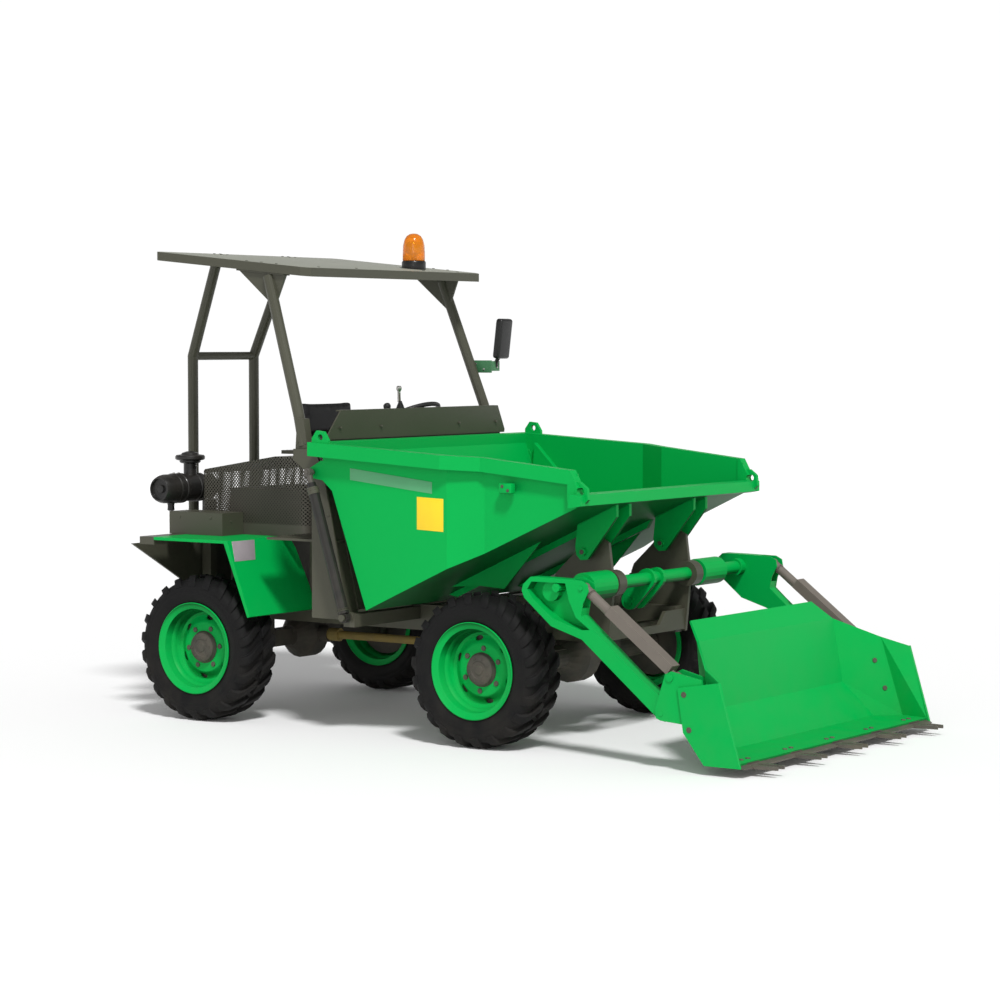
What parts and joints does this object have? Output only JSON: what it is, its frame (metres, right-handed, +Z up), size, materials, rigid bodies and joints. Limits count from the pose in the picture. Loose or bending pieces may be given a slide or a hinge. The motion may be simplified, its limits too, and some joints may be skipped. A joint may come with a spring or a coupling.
{
  "type": "self-loading site dumper",
  "caption": "Four-wheeled site dumper with a forward-tipping wedge skip, a front loading bucket on two lift arms, rear-wheel steering and a four-post canopy.",
  "frame": {"origin": "on the ground at the centre of the whole machine's bounding box", "axes": "+X forward towards the bucket, +Y to the machine's left, +Z up"},
  "size_m": [4.095, 1.978, 2.6048],
  "materials": {
    "skip_green": "satin",
    "umbra_grey": "satin",
    "tyre_rubber": "matte",
    "chrome_rod": "polished",
    "worn_steel": "worn",
    "guard_brown": "satin",
    "black": "matte",
    "amber": "gloss",
    "seat_vinyl": "matte",
    "shaft_ochre": "matte"
  },
  "bodies": {
    "chassis": {"air_filter": "black", "battery_box": "umbra_grey", "beacon": "amber", "canopy_roof": "umbra_grey", "chassis_frame": "umbra_grey", "cowl": "umbra_grey", "dash_panel": "umbra_grey", "drive_shaft": "shaft_ochre", "engine_block": "umbra_grey", "engine_cover": "umbra_grey", "fender_l": "skip_green", "fender_r": "skip_green", "front_axle": "umbra_grey", "front_post_l": "umbra_grey", "front_post_r": "umbra_grey", "front_tower": "umbra_grey", "mirror": "black", "rear_axle": "umbra_grey", "rear_deck": "umbra_grey", "rear_panel": "umbra_grey", "rear_posts": "umbra_grey", "seat_back": "seat_vinyl", "seat_base": "umbra_grey", "seat_cushion": "seat_vinyl", "steering_column": "black"},
    "skip": {"skip": "skip_green"},
    "loader_arms": {"cross_tube": "skip_green", "arm_l": "skip_green", "arm_r": "skip_green"},
    "bucket": {"bucket": "skip_green", "cutting_edge": "worn_steel"},
    "tie_rod": {"tie_rod": "umbra_grey"},
    "lift_barrel": {"lift_barrel": "umbra_grey"},
    "lift_rod": {"lift_rod": "chrome_rod"},
    "knuckle_l": {"knuckle_l": "umbra_grey"},
    "tip_barrel_l": {"tip_barrel_l": "umbra_grey"},
    "tip_stage_l": {"tip_stage_l": "worn_steel"},
    "tip_rod_l": {"tip_rod_l": "chrome_rod"},
    "bucket_barrel_l": {"bucket_barrel_l": "umbra_grey"},
    "bucket_rod_l": {"bucket_rod_l": "guard_brown"},
    "knuckle_r": {"knuckle_r": "umbra_grey"},
    "tip_barrel_r": {"tip_barrel_r": "umbra_grey"},
    "tip_stage_r": {"tip_stage_r": "worn_steel"},
    "tip_rod_r": {"tip_rod_r": "chrome_rod"},
    "bucket_barrel_r": {"bucket_barrel_r": "umbra_grey"},
    "bucket_rod_r": {"bucket_rod_r": "guard_brown"},
    "wheel_fl": {"tyre_fl": "tyre_rubber", "rim_fl": "skip_green"},
    "wheel_fr": {"tyre_fr": "tyre_rubber", "rim_fr": "skip_green"},
    "wheel_rl": {"tyre_rl": "tyre_rubber", "rim_rl": "skip_green"},
    "wheel_rr": {"tyre_rr": "tyre_rubber", "rim_rr": "skip_green"}
  },
  "joints": [
    {"name": "skip_tip", "type": "hinge", "parent": "chassis", "child": "skip", "pos_m": [0.7025, 0, 0.96], "axis": [0, 1, 0], "range_deg": [0, 65]},
    {"name": "arms_lift", "type": "hinge", "parent": "chassis", "child": "loader_arms", "pos_m": [0.8325, 0, 0.805], "axis": [0, 1, 0], "range_deg": [-110, 0]},
    {"name": "bucket_crowd", "type": "hinge", "parent": "loader_arms", "child": "bucket", "pos_m": [1.4825, 0, 0.27], "axis": [0, 1, 0], "range_deg": [-45, 3]},
    {"name": "steer_r", "type": "hinge", "parent": "chassis", "child": "knuckle_r", "pos_m": [-1.4475, -0.725, 0.385], "axis": [0, 0, 1], "range_deg": [-25, 25]},
    {"name": "steer_l", "type": "hinge", "parent": "chassis", "child": "knuckle_l", "pos_m": [-1.4475, 0.725, 0.385], "axis": [0, 0, 1], "range_deg": [-25, 25]},
    {"name": "tie_rod_slide", "type": "slide", "parent": "chassis", "child": "tie_rod", "axis": [0, 1, 0], "range_m": [-0.05286, 0.05286]},
    {"name": "spin_fl", "type": "hinge", "parent": "chassis", "child": "wheel_fl", "pos_m": [0.3575, 0.7955, 0.385], "axis": [0, 1, 0], "continuous": true},
    {"name": "spin_fr", "type": "hinge", "parent": "chassis", "child": "wheel_fr", "pos_m": [0.3575, -0.7955, 0.385], "axis": [0, 1, 0], "continuous": true},
    {"name": "spin_rl", "type": "hinge", "parent": "knuckle_l", "child": "wheel_rl", "pos_m": [-1.4475, 0.7955, 0.385], "axis": [0, 1, 0], "continuous": true},
    {"name": "spin_rr", "type": "hinge", "parent": "knuckle_r", "child": "wheel_rr", "pos_m": [-1.4475, -0.7955, 0.385], "axis": [0, 1, 0], "continuous": true},
    {"name": "tip_barrel_l_pivot", "type": "hinge", "parent": "chassis", "child": "tip_barrel_l", "pos_m": [-0.3975, 0.957, 0.61], "axis": [0, 1, 0], "range_deg": [-0.2, 44.9]},
    {"name": "tip_stage_l_slide", "type": "slide", "parent": "tip_barrel_l", "child": "tip_stage_l", "axis": [-0.3005, 0, 0.9538], "range_m": [-0.0005, 0.58258]},
    {"name": "tip_rod_l_slide", "type": "slide", "parent": "tip_stage_l", "child": "tip_rod_l", "axis": [-0.3005, 0, 0.9538], "range_m": [-0.0005, 0.58258]},
    {"name": "tip_barrel_r_pivot", "type": "hinge", "parent": "chassis", "child": "tip_barrel_r", "pos_m": [-0.3975, -0.957, 0.61], "axis": [0, 1, 0], "range_deg": [-0.2, 44.9]},
    {"name": "tip_stage_r_slide", "type": "slide", "parent": "tip_barrel_r", "child": "tip_stage_r", "axis": [-0.3005, 0, 0.9538], "range_m": [-0.0005, 0.58258]},
    {"name": "tip_rod_r_slide", "type": "slide", "parent": "tip_stage_r", "child": "tip_rod_r", "axis": [-0.3005, 0, 0.9538], "range_m": [-0.0005, 0.58258]},
    {"name": "bucket_barrel_l_pivot", "type": "hinge", "parent": "loader_arms", "child": "bucket_barrel_l", "pos_m": [1.0225, 0.915, 0.83], "axis": [0, 1, 0], "range_deg": [-0.75, 9.85]},
    {"name": "bucket_rod_l_slide", "type": "slide", "parent": "bucket_barrel_l", "child": "bucket_rod_l", "axis": [0.7944, 0, -0.6074], "range_m": [-0.09089, 0.00653]},
    {"name": "bucket_barrel_r_pivot", "type": "hinge", "parent": "loader_arms", "child": "bucket_barrel_r", "pos_m": [1.0225, -0.915, 0.83], "axis": [0, 1, 0], "range_deg": [-0.75, 9.85]},
    {"name": "bucket_rod_r_slide", "type": "slide", "parent": "bucket_barrel_r", "child": "bucket_rod_r", "axis": [0.7944, 0, -0.6074], "range_m": [-0.09089, 0.00653]},
    {"name": "lift_barrel_pivot", "type": "hinge", "parent": "chassis", "child": "lift_barrel", "pos_m": [0.1725, 0, 0.62], "axis": [0, 1, 0], "range_deg": [-2.2, 0.1]},
    {"name": "lift_rod_slide", "type": "slide", "parent": "lift_barrel", "child": "lift_rod", "axis": [0.9923, 0, 0.124], "range_m": [-0.0005, 0.24893]}
  ],
  "couplings": [
    {"joint": "steer_l", "follows": "steer_r", "ratio": 1},
    {"joint": "tie_rod_slide", "follows": "steer_r", "m_per_rad": -0.12},
    {"joint": "tip_barrel_l_pivot", "follows": "skip_tip", "ratio": 0.68768},
    {"joint": "tip_stage_l_slide", "follows": "skip_tip", "m_per_rad": 0.51309},
    {"joint": "tip_rod_l_slide", "follows": "skip_tip", "m_per_rad": 0.51309},
    {"joint": "tip_barrel_r_pivot", "follows": "skip_tip", "ratio": 0.68768},
    {"joint": "tip_stage_r_slide", "follows": "skip_tip", "m_per_rad": 0.51309},
    {"joint": "tip_rod_r_slide", "follows": "skip_tip", "m_per_rad": 0.51309},
    {"joint": "bucket_barrel_l_pivot", "follows": "bucket_crowd", "ratio": -0.21658},
    {"joint": "bucket_rod_l_slide", "follows": "bucket_crowd", "m_per_rad": 0.11509},
    {"joint": "bucket_barrel_r_pivot", "follows": "bucket_crowd", "ratio": -0.21658},
    {"joint": "bucket_rod_r_slide", "follows": "bucket_crowd", "m_per_rad": 0.11509},
    {"joint": "lift_barrel_pivot", "follows": "arms_lift", "ratio": 0.019132},
    {"joint": "lift_rod_slide", "follows": "arms_lift", "m_per_rad": -0.1294}
  ]
}
